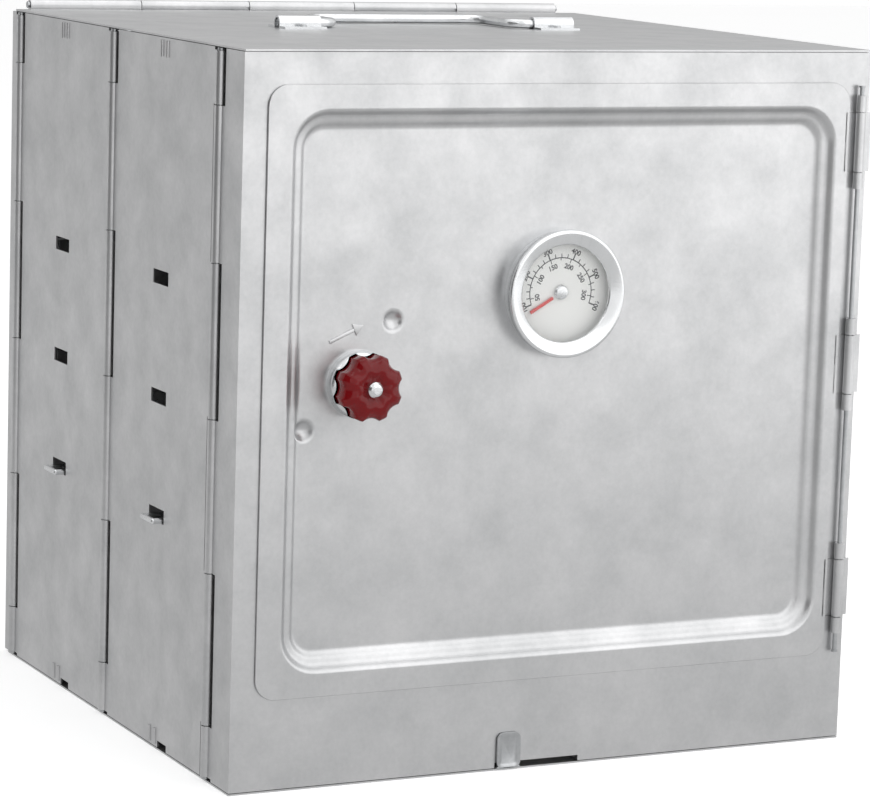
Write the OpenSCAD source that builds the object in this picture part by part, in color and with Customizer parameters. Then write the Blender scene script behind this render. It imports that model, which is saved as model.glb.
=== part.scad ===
// Folding camp oven: a sheet steel box whose side walls fold inward like bellows.
// Millimetres, +Z up, front face towards -Y, origin under the middle of the box on the surface it stands on.

/* [Oven body] */
// Distance between the two side walls, sheet centre to sheet centre
oven_w = 292; // [284:1:304]
// Height over the top panel and the bottom panel
oven_h = 305; // [300:1:316]
// Width of each of the four side leaves, hinge line to hinge line
leaf_w = 120; // [116:1:126]
// Depth of the front frame's side flanges, front face to hinge line
front_flange = 25; // [24:0.5:30]
// Depth of the back panel's side flanges, back face to hinge line
back_flange = 11; // [11:0.5:14]
// Thickness of the pressed sheet
sheet = 0.8; // [0.7:0.05:0.9]
// Gap between the walls and the top and bottom panels
panel_gap = 0.3; // [0.25:0.05:0.5]

/* [Hinges] */
// Outer radius of the rolled knuckles
knuckle_r = 2.5; // [2.3:0.1:2.7]
// Radius of the hinge wires
pin_r = 1.2; // [1:0.1:1.4]
// Radial clearance between a hinge wire and its knuckles
pin_clear = 0.05; // [0.04:0.01:0.08]
// Extra radial clearance in the front right leaf's front knuckles, where the fold's loop is left open
loop_clear = 0.35; // [0.2:0.05:0.5]
// Axial gap between neighbouring knuckles
knuckle_gap = 0.4; // [0.3:0.1:0.8]
// Length of the short knuckle at each end of an upright hinge
knuckle_end = 22; // [16:1:28]
// How far a sheet stays back from a hinge line where the other sheet has its knuckle
leaf_cut = 6; // [5.5:0.5:7]
// How far the top and bottom hinges stay inside the side walls at each end
lid_hinge_in = 8; // [7:1:16]

/* [Door] */
// Distance from the left wall to the door's left edge
door_left = 10; // [9:0.5:11]
// Distance from the right wall to the door's right edge
door_right = 9.5; // [9:0.5:10.5]
// Distance from the door's upper edge to the oven's top
door_top = 14; // [12:1:18]
// Height of the door's lower edge
door_z = 39; // [37:1:41]
// Corner radius of the door
door_r = 9; // [6:1:12]
// Gap between the door and the front frame
door_gap = 0.3; // [0.25:0.05:0.5]
// Width of the flat border to the left of the pressed recess
border_left = 10; // [9:0.5:11]
// Width of the border to the right of the recess
border_right = 5.5; // [5:0.5:7]
// Width of the border above and below the recess
border_level = 9.5; // [8:0.5:11]
// Corner radius of the recess at its outer edge
recess_r = 17; // [14:1:20]
// Depth of the recess
recess_d = 5.5; // [4.5:0.5:6.5]
// Clearance between the recess and the front frame's window
window_clear = 2.5; // [2:0.5:3]
// Radius of the door's hinge knuckles
door_knuckle_r = 2.2; // [2:0.1:2.4]
// Length of each of the door's three knuckles
door_knuckle_l = 25.5; // [22:0.5:28]
// Length of the front frame's knuckles beside them
lug_l = 7; // [5:0.5:9]

/* [Latch] */
// Distance from the door's left edge to the latch shaft
latch_in = 45; // [42:0.5:48]
// Height of the latch shaft
latch_z = 168; // [163:1:173]
// Radius of the latch shaft
shaft_r = 2.5; // [2.25:0.25:3]
// Outer radius of the knob, over its points
knob_r = 14; // [13:0.5:15.5]
// Number of scallops round the knob
knob_lobes = 8; // [7:1:9]
// Length of the knob
knob_l = 12; // [10:1:15]
// Radius of the dished skirt behind the knob
skirt_r = 14; // [13:0.5:15.5]
// Height of the dished skirt
skirt_h = 5; // [4:0.5:7]
// How far the finger's tip reaches past the door's left edge
finger_over = 1; // [0:0.5:2]
// Width of the finger
finger_w = 13; // [10:1:16]

/* [Thermometer] */
// Sideways place of the thermometer
gauge_x = 0.5; // [-4:0.5:8]
// Height of the thermometer
gauge_z = 203.5; // [195:0.5:210]
// Outer radius of the bezel
bezel_r = 27; // [26:0.5:29]
// Height of the bezel in front of the recess floor
bezel_h = 9; // [7.5:0.5:11]
// Width of the bezel's front ring
bezel_ring = 6.5; // [5.5:0.5:7]
// Depth of the cup behind the recess floor
cup_d = 9; // [7:0.5:10]

/* [Rack] */
// Distance from each side wall to the rack's border wire
rack_side = 6.5; // [6.5:0.5:8]
// Depth of the rack, wire centre to wire centre
rack_l = 190; // [184:1:192]
// Radius of the rack's border wire
rack_r = 2; // [1.75:0.25:2]
// Radius of the rack's grid wires
grid_r = 1; // [0.8:0.1:1.1]
// Number of grid wires
grid_n = 18; // [12:2:22]
// Lowest height of the rack's slots
slot_z = 101.6; // [98:0.2:104]
// Height between one row of slots and the next
slot_step = 50.8; // [45:0.2:55]
// Width of a rack slot
slot_w = 17; // [16:0.5:20]
// Height of a rack slot
slot_h = 6; // [5:0.5:7]
// Radius of the clips' wire
clip_r = 1.3; // [1.1:0.1:1.4]

/* [Handle] */
// Distance between the handle's two saddles
handle_w = 126; // [110:2:150]
// How far the handle reaches back from its saddles
handle_l = 36; // [30:1:44]
// Radius of the handle's wire
handle_r = 2; // [1.75:0.25:2.5]
// Length of each saddle along the wire
saddle_l = 20; // [14:1:22]

/* [Hidden] */
$fn = 48;

steel = [0.74, 0.75, 0.75];
bright = [0.82, 0.83, 0.84];
wire = [0.66, 0.67, 0.69];
red = [0.62, 0.04, 0.06];

// Sheet overlap used where two walls of one piece join
eps = 0.01;
x_side = oven_w / 2;
door_lo_x = -x_side + door_left;
door_hi_x = x_side - door_right;
door_h = oven_h - door_top - door_z;
latch_x = door_lo_x + latch_in;
finger_l = latch_in + finger_over;
rack_w = oven_w - 2 * rack_side;
lid_hinge_l = oven_w - 2 * lid_hinge_in;
body_d = front_flange + 2 * leaf_w + back_flange;
knob_gap = 0.4;
head_h = 1.6;
// Reach in front of the front face, and behind the back face
front_out = door_gap + sheet - recess_d + skirt_h + knob_gap + knob_l + head_h;
back_out = 2 * knuckle_r - sheet;
y_front = front_out - (front_out + body_d + back_out) / 2;
y_back = y_front + body_d;
y_front_hinge = y_front + front_flange;
y_mid_hinge = y_front_hinge + leaf_w;
y_back_hinge = y_mid_hinge + leaf_w;

// The walls stand between the bottom panel and the top panel
wall_lo = sheet + panel_gap;
wall_hi = oven_h - sheet - panel_gap;
pin_head = 0.8;
upset = 0.4;
pin_end_gap = 0.1;
hinge_lo = wall_lo + pin_head + 2 * pin_end_gap;
hinge_hi = wall_hi - pin_head - 2 * pin_end_gap;
long_knuckles = 4;
knuckle_step = (hinge_hi - hinge_lo - 2 * knuckle_end) / long_knuckles;

// The top and bottom panels hinge on the back panel
y_lid_hinge = y_back - sheet + knuckle_r;
z_top_hinge = oven_h - sheet + knuckle_r;
z_bottom_hinge = knuckle_r;
lid_knuckles = 5;
lid_step = lid_hinge_l / lid_knuckles;

// Marks on the side leaves
rib_r = 0.9;
rib_l = 7;
rib_step = 6;
notch_w = 10;
notch_h = 3;
notch_in = 6;
rib_in = 1;

// Vent holes of the bottom panel: radius of each ring and number of its holes
vent_rings = [[40, 10], [76, 18]];
vent_r = 6;

// Front frame
return_d = 12;
foot_notch_w = 40;
foot_notch_x = -24.4;
foot_notch_h = 2.4;
catch_w = 6;
catch_h = 22;
catch_inset = 4;

// Door
y_door = y_front - door_gap - sheet;
y_floor = y_door + recess_d;
door_w = door_hi_x - door_lo_x;
door_x = (door_lo_x + door_hi_x) / 2;
door_mid_z = door_z + door_h / 2;
recess_w = door_w - border_left - border_right;
recess_h = door_h - 2 * border_level;
recess_x = door_lo_x + border_left + recess_w / 2;
door_hinge_reach = 4.8;
x_door_hinge = door_hi_x + door_hinge_reach;
y_door_hinge = y_front - door_gap - door_knuckle_r;
door_pin_r = 1;
door_pin_in = 2;
low_knuckle = 30;
mid_knuckle = 3.5;
high_knuckle = 25.5;
door_knuckle_zs = [door_z + low_knuckle, door_mid_z + mid_knuckle, door_z + door_h - high_knuckle];
slope = 7;
// Two round dents beside the latch: radius and depth of the dish, and their places from the shaft
dimple_r = 5;
dimple_d = 2.4;
dimple_at = [[15, 25.5], [-24, -18.5]];

// Latch
washer_h = 0.8;
shaft_head_h = 1.2;
finger_t = 1.6;
finger_gap = 0.3;
y_finger = y_front + sheet + recess_d;
scallop_r = 6;
scallop_d = 2.3;
knob_chamfer = 3.5;
dish_d = 1.5;
shaft_head = 0.8;

// Thermometer
lens_h = 1.2;
lens_z = bezel_h - 4.6;
dial_h = 0.6;
cup_wall = 0.8;
cup_r = bezel_r - 4;
dial_y = y_floor - bezel_h / 2;
hub_r = 1.4;
coil_lift = 1;

// Rack and its seats
clip_seat = 0.1;
clip_in = 6.7;
clip_out = 4.2;
clip_w = 12;
clip_z = slot_z - slot_h / 2 + clip_seat + clip_r;
rack_seat = 0.3;
z_rack = clip_z + clip_r + rack_seat + rack_r;
rack_back = 7;
y_rack = y_back - rack_back;
rack_lean = 0.5;
rack_corner = 8;
hook_t = 1.2;
hook_w = 12;
hook_x = 70;
hook_h = 22;
hook_lip = 0.6;
clip_leg = 9;

// Handle
saddle_t = 1;
saddle_gap = 0.3;
saddle_foot = 6;
y_handle = (y_front + y_back) / 2;
z_handle = oven_h + handle_r + saddle_gap;
handle_bend = 8;
rivet_r = 1.7;
rivet_h = 0.9;

// Bottom clip
clip_strap_w = 11;
clip_strap_t = 1;
clip_strap_z = 16.5;
clip_strap_gap = 0.4;
clip_strap_l = 14;
clip_strap_x = -18.3;
clip_round = 3;
clip_rivet_in = 5;

// Height of the lower end of knuckle i of an upright hinge
function knuckle_z(i) = i <= 0 ? hinge_lo
    : i > long_knuckles + 1 ? hinge_hi
    : hinge_lo + knuckle_end + (i - 1) * knuckle_step;

// Knuckles of an upright hinge on the Z axis: every second one, from the first or the second
module upright_knuckles(first) {
    for (i = [first : 2 : long_knuckles + 1])
        translate([0, 0, knuckle_z(i) + knuckle_gap / 2])
            cylinder(r = knuckle_r, h = knuckle_z(i + 1) - knuckle_z(i) - knuckle_gap);
}

module upright_bore(clear = pin_clear) {
    translate([0, 0, hinge_lo - 1]) cylinder(r = pin_r + clear, h = hinge_hi - hinge_lo + 2);
}

// The strips of sheet that run from a leaf's edge into its own knuckles
module knuckle_strips(first) {
    for (i = [first : 2 : long_knuckles + 1])
        translate([0, knuckle_z(i) + knuckle_gap / 2])
            square([leaf_cut + eps, knuckle_z(i + 1) - knuckle_z(i) - knuckle_gap]);
}

// A sheet standing in the YZ plane, centred on X = 0, from an outline in y and z
module side_sheet() {
    rotate([90, 0, 90]) linear_extrude(height = sheet, center = true) children();
}

// A sheet standing in the XZ plane with its front face at y = 0, from an outline in x and z
module front_sheet() {
    translate([0, sheet, 0]) rotate([90, 0, 0]) linear_extrude(height = sheet) children();
}

module rounded(w, h, r) {
    square([w - 2 * r, h], center = true);
    square([w, h - 2 * r], center = true);
    for (x = [-1, 1], z = [-1, 1])
        translate([x * (w / 2 - r), z * (h / 2 - r)]) circle(r = r);
}

// Hinge wire of an upright hinge, with its two upset heads
module upright_pin(x, y) {
    color(wire) translate([x, y, 0]) {
        translate([0, 0, hinge_lo - pin_end_gap])
            cylinder(r = pin_r, h = hinge_hi - hinge_lo + 2 * pin_end_gap);
        for (z = [hinge_lo - pin_end_gap - pin_head, hinge_hi + pin_end_gap])
            translate([0, 0, z]) cylinder(r = pin_r + upset, h = pin_head);
    }
}

// Side leaf from the hinge line at y0 to the next one: it owns every second knuckle of each
module side_leaf(side, y0, first_front, first_rear, front_clear = pin_clear) {
    color(steel) translate([side * x_side, y0, 0]) difference() {
        union() {
            side_sheet() difference() {
                union() {
                    translate([leaf_cut, wall_lo]) square([leaf_w - 2 * leaf_cut, wall_hi - wall_lo]);
                    knuckle_strips(first_front);
                    translate([leaf_w, 0]) mirror([1, 0]) knuckle_strips(first_rear);
                }
                for (i = [0 : 2])
                    translate([leaf_w / 2, slot_z + i * slot_step])
                        square([slot_w, slot_h], center = true);
                translate([leaf_w / 2 - notch_in - notch_w, wall_lo - eps]) square([notch_w, notch_h]);
            }
            upright_knuckles(first_front);
            translate([0, leaf_w, 0]) upright_knuckles(first_rear);
            for (y = [-1, 1], z = [wall_lo + rib_in, wall_hi - rib_in - rib_l])
                translate([side * sheet / 2, leaf_w / 2 + y * rib_step / 2, z]) cylinder(r = rib_r, h = rib_l);
        }
        upright_bore(front_clear);
        translate([0, leaf_w, 0]) upright_bore();
    }
}

module rear_left_leaf() side_leaf(-1, y_mid_hinge, 1, 0);
module rear_right_leaf() side_leaf(1, y_mid_hinge, 1, 0);
module front_left_leaf() side_leaf(-1, y_front_hinge, 1, 0);
module front_right_leaf() side_leaf(1, y_front_hinge, 1, 0, pin_clear + loop_clear);

module back_left_pin() upright_pin(-x_side, y_back_hinge);
module back_right_pin() upright_pin(x_side, y_back_hinge);
module mid_left_pin() upright_pin(-x_side, y_mid_hinge);
module mid_right_pin() upright_pin(x_side, y_mid_hinge);
module front_left_pin() upright_pin(-x_side, y_front_hinge);
module front_right_pin() upright_pin(x_side, y_front_hinge);

// Knuckles along X for the top and bottom hinges, and the wire's bore
module lid_knuckle_row(first) {
    for (i = [first : 2 : lid_knuckles - 1])
        translate([-lid_hinge_l / 2 + i * lid_step + knuckle_gap / 2, 0, 0])
            rotate([0, 90, 0]) cylinder(r = knuckle_r, h = lid_step - knuckle_gap);
}

module lid_bore() {
    translate([-lid_hinge_l / 2 - 1, 0, 0])
        rotate([0, 90, 0]) cylinder(r = pin_r + pin_clear, h = lid_hinge_l + 2);
}

module lid_pin(z) {
    color(wire) translate([0, y_lid_hinge, z]) rotate([0, 90, 0]) {
        cylinder(r = pin_r, h = lid_hinge_l + 2 * pin_end_gap, center = true);
        for (s = [-1, 1])
            translate([0, 0, s * (lid_hinge_l / 2 + pin_end_gap + pin_head / 2)])
                cylinder(r = pin_r + upset, h = pin_head, center = true);
    }
}

module top_pin() lid_pin(z_top_hinge);
module bottom_pin() lid_pin(z_bottom_hinge);

module back_panel() {
    color(steel) difference() {
        union() {
            translate([0, y_back - sheet, 0]) front_sheet() difference() {
                union() {
                    translate([-x_side - sheet / 2, wall_lo])
                        square([oven_w + sheet, wall_hi - wall_lo]);
                    for (i = [0 : 2 : lid_knuckles - 1])
                        translate([-lid_hinge_l / 2 + i * lid_step + knuckle_gap / 2, z_bottom_hinge])
                            square([lid_step - knuckle_gap, z_top_hinge - z_bottom_hinge]);
                }
                for (i = [1 : 2 : lid_knuckles - 1])
                    translate([-lid_hinge_l / 2 + i * lid_step - knuckle_gap / 2, 0])
                        square([lid_step + knuckle_gap, 2 * knuckle_r + panel_gap]);
                for (i = [0 : 2 : lid_knuckles - 1])
                    translate([-lid_hinge_l / 2 + i * lid_step + knuckle_gap / 2, -eps])
                        square([lid_step - knuckle_gap, z_bottom_hinge]);
            }
            for (s = [-1, 1])
                translate([s * x_side, y_back_hinge, 0]) {
                    side_sheet() {
                        translate([leaf_cut, wall_lo])
                            square([back_flange - leaf_cut - eps, wall_hi - wall_lo]);
                        knuckle_strips(1);
                    }
                    upright_knuckles(1);
                }
            translate([0, y_lid_hinge, z_top_hinge]) lid_knuckle_row(0);
            translate([0, y_lid_hinge, z_bottom_hinge]) lid_knuckle_row(0);
        }
        for (s = [-1, 1])
            translate([s * x_side, y_back_hinge, 0]) upright_bore();
        translate([0, y_lid_hinge, z_top_hinge]) lid_bore();
        translate([0, y_lid_hinge, z_bottom_hinge]) lid_bore();
    }
}

// Outline of the top and bottom panels, seen from above, with strips into their own knuckles
module lid_outline(y_lo) {
    translate([-x_side - sheet / 2, y_lo])
        square([oven_w + sheet, y_lid_hinge - leaf_cut - y_lo]);
    for (i = [1 : 2 : lid_knuckles - 1])
        translate([-lid_hinge_l / 2 + i * lid_step + knuckle_gap / 2, y_lid_hinge - leaf_cut - eps])
            square([lid_step - knuckle_gap, leaf_cut + eps]);
}

module top_panel() {
    color(steel) difference() {
        union() {
            translate([0, 0, oven_h - sheet])
                linear_extrude(height = sheet) lid_outline(y_front - sheet);
            translate([0, y_lid_hinge, z_top_hinge]) lid_knuckle_row(1);
        }
        translate([0, y_lid_hinge, z_top_hinge]) lid_bore();
    }
}

// The bottom panel lets the stove's heat in through two rings of holes
module bottom_panel() {
    color(steel) difference() {
        union() {
            linear_extrude(height = sheet) difference() {
                lid_outline(y_front);
                for (ring = vent_rings, i = [0 : ring[1] - 1])
                    rotate(i * 360 / ring[1]) translate([ring[0], 0]) circle(r = vent_r);
            }
            translate([0, y_lid_hinge, z_bottom_hinge]) lid_knuckle_row(1);
        }
        translate([0, y_lid_hinge, z_bottom_hinge]) lid_bore();
    }
}

// Spring clip on the bottom panel, hooked up in front of the front frame's lower edge
module bottom_clip() {
    y_strap = y_front - clip_strap_gap - clip_strap_t;
    color(bright) translate([clip_strap_x - clip_strap_w / 2, 0, 0]) {
        translate([0, y_strap, sheet]) cube([clip_strap_w, clip_strap_l - (y_strap - y_front), clip_strap_t]);
        translate([clip_strap_w / 2, y_strap + clip_strap_t, (clip_strap_z + sheet) / 2]) rotate([90, 0, 0])
            linear_extrude(height = clip_strap_t) {
                rounded(clip_strap_w, clip_strap_z - sheet, clip_round);
                translate([0, -clip_round]) square([clip_strap_w, clip_strap_z - sheet - 2 * clip_round], center = true);
            }
    }
}

module clip_rivet() {
    color(wire) translate([clip_strap_x, y_front + clip_strap_l - clip_rivet_in, sheet + clip_strap_t])
        cylinder(r = rivet_r, h = rivet_h);
}

module front_frame() {
    color(steel) difference() {
        union() {
            translate([0, y_front, 0]) front_sheet() difference() {
                translate([-x_side - sheet / 2, wall_lo]) square([oven_w + sheet, wall_hi - wall_lo]);
                translate([recess_x, door_mid_z])
                    rounded(recess_w + 2 * window_clear, recess_h + 2 * window_clear, recess_r + window_clear);
                translate([foot_notch_x, wall_lo - eps]) square([foot_notch_w, foot_notch_h]);
            }
            for (s = [-1, 1])
                translate([s * x_side, y_front_hinge, 0]) {
                    side_sheet() {
                        translate([-front_flange + eps, wall_lo])
                            square([front_flange - leaf_cut - eps, wall_hi - wall_lo]);
                        mirror([1, 0]) knuckle_strips(0);
                    }
                    upright_knuckles(0);
                }
            // Returns along the upper and lower edges
            translate([-x_side, y_front, wall_hi - sheet]) cube([oven_w, return_d, sheet]);
            translate([-x_side, y_front, wall_lo]) cube([x_side + foot_notch_x, return_d, sheet]);
            translate([foot_notch_x + foot_notch_w, y_front, wall_lo])
                cube([x_side - foot_notch_x - foot_notch_w, return_d, sheet]);
            // Catch that the latch finger turns in behind
            translate([latch_x - finger_l + 1, y_front + eps, latch_z - catch_h / 2])
                cube([catch_w, y_finger - y_front - finger_gap, catch_h]);
            // Knuckles of the door's hinge, one on each side of each of the door's
            for (z = door_knuckle_zs, s = [-1, 1])
                translate([x_door_hinge, y_door_hinge,
                        z + s * (door_knuckle_l / 2 + knuckle_gap + lug_l / 2) - lug_l / 2]) {
                    cylinder(r = door_knuckle_r, h = lug_l);
                    translate([0.4, 0, 0])
                        cube([door_knuckle_r - 0.4, door_knuckle_r + door_gap + eps, lug_l]);
                }
        }
        for (s = [-1, 1])
            translate([s * x_side, y_front_hinge, 0]) upright_bore();
        translate([x_door_hinge, y_door_hinge, door_z])
            cylinder(r = door_pin_r + pin_clear, h = door_h);
    }
}

module door_pin() {
    color(wire) translate([x_door_hinge, y_door_hinge, 0]) {
        translate([0, 0, door_z + door_pin_in]) cylinder(r = door_pin_r, h = door_h - 2 * door_pin_in);
        for (z = [door_z + door_pin_in - pin_head, door_z + door_h - door_pin_in])
            translate([0, 0, z]) cylinder(r = door_pin_r + upset, h = pin_head);
    }
}

// Sweeps a profile of [distance from the corner's centre, -depth] round a rounded rectangle
module swept_round(w, h, r, profile) {
    cx = w / 2 - r;
    cz = h / 2 - r;
    for (q = [0 : 3]) {
        along = q % 2 == 0 ? cz : cx;
        out = q % 2 == 0 ? cx : cz;
        rotate([0, 0, 90 * q]) {
            translate([out, along, 0]) rotate([90, 0, 0]) linear_extrude(height = 2 * along) polygon(profile);
            translate([out, along, 0]) rotate_extrude(angle = 90) polygon(profile);
        }
    }
}

// The wall of the pressed recess: a slope, a narrow shelf and a second slope down to the floor
recess_line = [[0, 0], [-2.4, recess_d * 0.55], [-4.6, recess_d * 0.62], [-slope, recess_d]];
recess_profile = concat(
    [for (p = recess_line) [recess_r + p[0], -p[1]]],
    [for (i = [len(recess_line) - 1 : -1 : 0]) [recess_r + recess_line[i][0], -recess_line[i][1] - sheet]]);

module door_panel() {
    color(steel) difference() {
        union() {
            translate([0, y_door, 0]) front_sheet() difference() {
                translate([door_x, door_mid_z]) rounded(door_w, door_h, door_r);
                translate([recess_x, door_mid_z]) rounded(recess_w, recess_h, recess_r);
            }
            translate([recess_x, y_door, door_mid_z]) rotate([90, 0, 0])
                swept_round(recess_w, recess_h, recess_r, recess_profile);
            translate([0, y_floor, 0]) front_sheet()
                translate([recess_x, door_mid_z])
                    rounded(recess_w - 2 * slope, recess_h - 2 * slope, recess_r - slope);
            for (z = door_knuckle_zs) translate([0, 0, z - door_knuckle_l / 2]) {
                translate([door_hi_x - 1, y_door, 0])
                    cube([x_door_hinge - door_hi_x + 1, sheet, door_knuckle_l]);
                translate([x_door_hinge, y_door_hinge, 0]) cylinder(r = door_knuckle_r, h = door_knuckle_l);
            }
            for (d = dimple_at)
                translate([latch_x + d[0], y_floor + sheet / 2, latch_z + d[1]]) rotate([-90, 0, 0])
                    intersection() {
                        cylinder(r = dimple_r + sheet, h = dimple_r);
                        translate([0, 0, dimple_d - dimple_r - sheet / 2]) sphere(r = dimple_r + sheet);
                    }
        }
        for (d = dimple_at)
            translate([latch_x + d[0], y_floor + dimple_d - dimple_r, latch_z + d[1]]) sphere(r = dimple_r);
        translate([latch_x, y_floor + sheet + 1, latch_z]) rotate([90, 0, 0])
            cylinder(r = shaft_r + pin_clear, h = sheet + 2);
        translate([gauge_x, y_floor + sheet + 1, gauge_z]) rotate([90, 0, 0])
            cylinder(r = cup_r + 0.2, h = sheet + 2);
        translate([x_door_hinge, y_door_hinge, door_z])
            cylinder(r = door_pin_r + pin_clear, h = door_h);
    }
}

// Places a turned piece on the latch shaft: its +Z points out of the door, from the recess floor
module on_latch() {
    translate([latch_x, y_floor, latch_z]) rotate([90, 0, 0]) children();
}

module knob_skirt() {
    color(bright) on_latch() rotate_extrude() polygon([
        [shaft_r + knob_gap, skirt_h - 1], [skirt_r - 3.5, skirt_h - 1], [skirt_r - 1, skirt_h - 3],
        [skirt_r - 1, 0], [skirt_r, 0], [skirt_r, skirt_h - 2.6], [skirt_r - 0.8, skirt_h - 1],
        [skirt_r - 3, skirt_h], [shaft_r + knob_gap, skirt_h]]);
}

module latch_knob() {
    z0 = skirt_h + knob_gap;
    color(red) on_latch() difference() {
        intersection() {
            translate([0, 0, z0]) linear_extrude(height = knob_l) difference() {
                circle(r = knob_r);
                for (i = [0 : knob_lobes - 1])
                    rotate(i * 360 / knob_lobes) translate([knob_r - scallop_d + scallop_r, 0])
                        circle(r = scallop_r);
            }
            rotate_extrude() polygon([[0, z0], [knob_r - 2, z0], [knob_r, z0 + knob_l - knob_chamfer - 1],
                [knob_r - 0.6, z0 + knob_l - knob_chamfer], [knob_r - knob_chamfer - 0.6, z0 + knob_l],
                [0, z0 + knob_l]]);
        }
        translate([0, 0, z0 - 1]) cylinder(r = shaft_r + pin_clear, h = knob_l + 2);
        // Shallow dish round the rivet head
        translate([0, 0, z0 + knob_l - dish_d])
            cylinder(r1 = shaft_r + shaft_head + 0.4, r2 = shaft_r + shaft_head + 2.4, h = dish_d + eps);
    }
}

module latch_shaft() {
    z_end = skirt_h + knob_gap + knob_l - dish_d;
    z_back = -(y_finger + finger_t - y_floor);
    color(wire) on_latch() {
        translate([0, 0, z_back]) cylinder(r = shaft_r, h = z_end - z_back);
        translate([0, 0, z_end]) rotate_extrude() polygon([[0, 0], [shaft_r + shaft_head, 0],
            [shaft_r + shaft_head, head_h], [shaft_r, head_h + 0.9], [shaft_r - 1, head_h + dish_d],
            [0, head_h + dish_d]]);
        translate([0, 0, z_back - shaft_head_h]) cylinder(r = shaft_r + 1.5, h = shaft_head_h);
    }
}

// The finger points up when the latch is open, and turns to the left to close it
module latch_finger() {
    color(bright) translate([latch_x, y_finger + finger_t, latch_z]) rotate([90, 0, 0])
        linear_extrude(height = finger_t) difference() {
            union() {
                circle(r = finger_w / 2 + 2);
                translate([-finger_w / 2, 0]) square([finger_w, finger_l - 4]);
                translate([-finger_w / 2 + 4, finger_l - 4 - eps]) square([finger_w - 8, 4 + eps]);
                for (s = [-1, 1]) translate([s * (finger_w / 2 - 4), finger_l - 4]) circle(r = 4);
            }
            circle(r = shaft_r + pin_clear);
        }
}

module latch_washer() {
    color(wire) translate([latch_x, y_finger, latch_z]) rotate([90, 0, 0])
        difference() {
            cylinder(r = shaft_r + 3, h = washer_h);
            translate([0, 0, -1]) cylinder(r = shaft_r + pin_clear, h = washer_h + 2);
        }
}

// Places a turned piece on the thermometer's axis, from the recess floor outwards
module on_gauge() {
    translate([gauge_x, y_floor, gauge_z]) rotate([90, 0, 0]) children();
}

module gauge_bezel() {
    r_in = bezel_r - bezel_ring;
    color(bright) on_gauge() rotate_extrude() polygon([
        [bezel_r - 2.5, 0.1], [bezel_r - 1.5, 0.1], [bezel_r - 1.2, bezel_h - 3.4], [bezel_r - 0.3, bezel_h - 2.4],
        [bezel_r, bezel_h - 1.4], [bezel_r - 0.3, bezel_h - 0.5], [bezel_r - 1.1, bezel_h],
        [bezel_r - 2, bezel_h - 0.2], [r_in + 0.5, bezel_h - 2], [r_in, bezel_h - 2.5], [r_in, lens_z + lens_h + 0.1],
        [bezel_r - 3.2, lens_z + lens_h + 0.1], [bezel_r - 2.5, 1.2]]);
}

module gauge_lens() {
    color([0.8, 0.86, 0.88, 0.4]) on_gauge() translate([0, 0, lens_z])
        cylinder(r = bezel_r - 3.8, h = lens_h);
}

module gauge_dial() {
    color([0.93, 0.93, 0.91]) on_gauge() translate([0, 0, 1]) difference() {
        cylinder(r = bezel_r - 3.5, h = dial_h);
        translate([0, 0, -1]) cylinder(r = hub_r - 0.5, h = dial_h + 2);
    }
}

// The needle lies at the scale's start, down to the left, and its shaft runs back to the coil
module gauge_needle() {
    z0 = 1 + dial_h + 0.5;
    color([0.8, 0.1, 0.08]) on_gauge() {
        translate([0, 0, z0]) linear_extrude(height = 0.5) rotate(210)
            polygon([[-6, -0.9], [-6, 0.9], [0, 1.3], [17, 0.3], [17, -0.3], [0, -1.3]]);
        translate([0, 0, z0 - 0.3]) cylinder(r = hub_r + 0.8, h = 1.3);
        translate([0, 0, -cup_d + 2]) cylinder(r = hub_r - 0.6, h = z0 + cup_d - 2);
    }
}

module gauge_cup() {
    color(bright) on_gauge() difference() {
        translate([0, 0, -cup_d]) cylinder(r = cup_r, h = cup_d + 0.9);
        translate([0, 0, -cup_d + cup_wall]) cylinder(r = cup_r - cup_wall, h = cup_d + 1);
        for (i = [0 : 5]) rotate(i * 60 + 30) translate([cup_r / 2, 0, -cup_d - 1])
            cylinder(r = 3, h = cup_wall + 2);
    }
}

// Flat spiral of bimetal strip: its inner end holds the needle's shaft
module gauge_coil() {
    turns = 4;
    steps = 12 * turns;
    r0 = hub_r + 0.4;
    pitch = (cup_r - cup_wall - 3 - r0) / turns;
    strip = 0.5;
    function at(k, side) = let (a = 360 * k / 12, r = r0 + pitch * k / 12 + side) [r * cos(a), r * sin(a)];
    color([0.72, 0.6, 0.42]) on_gauge() translate([0, 0, -cup_d + cup_wall]) {
        translate([0, 0, coil_lift]) linear_extrude(height = cup_d - cup_wall - coil_lift - 1.5)
            polygon(concat([for (k = [0 : steps]) at(k, 0)], [for (k = [steps : -1 : 0]) at(k, strip)]));
        // Foot under the outer end, fixed to the cup's floor
        translate([r0 + pitch * turns - 0.6, -1.5, 0]) cube([1.8, 3, coil_lift + 1.5]);
    }
}

module gauge_retainer() {
    color(wire) on_gauge() translate([0, 0, -sheet - 0.2 - 1]) difference() {
        cylinder(r = cup_r + 3, h = 1);
        translate([0, 0, -1]) cylinder(r = cup_r + 0.1, h = 3);
    }
}

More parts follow.
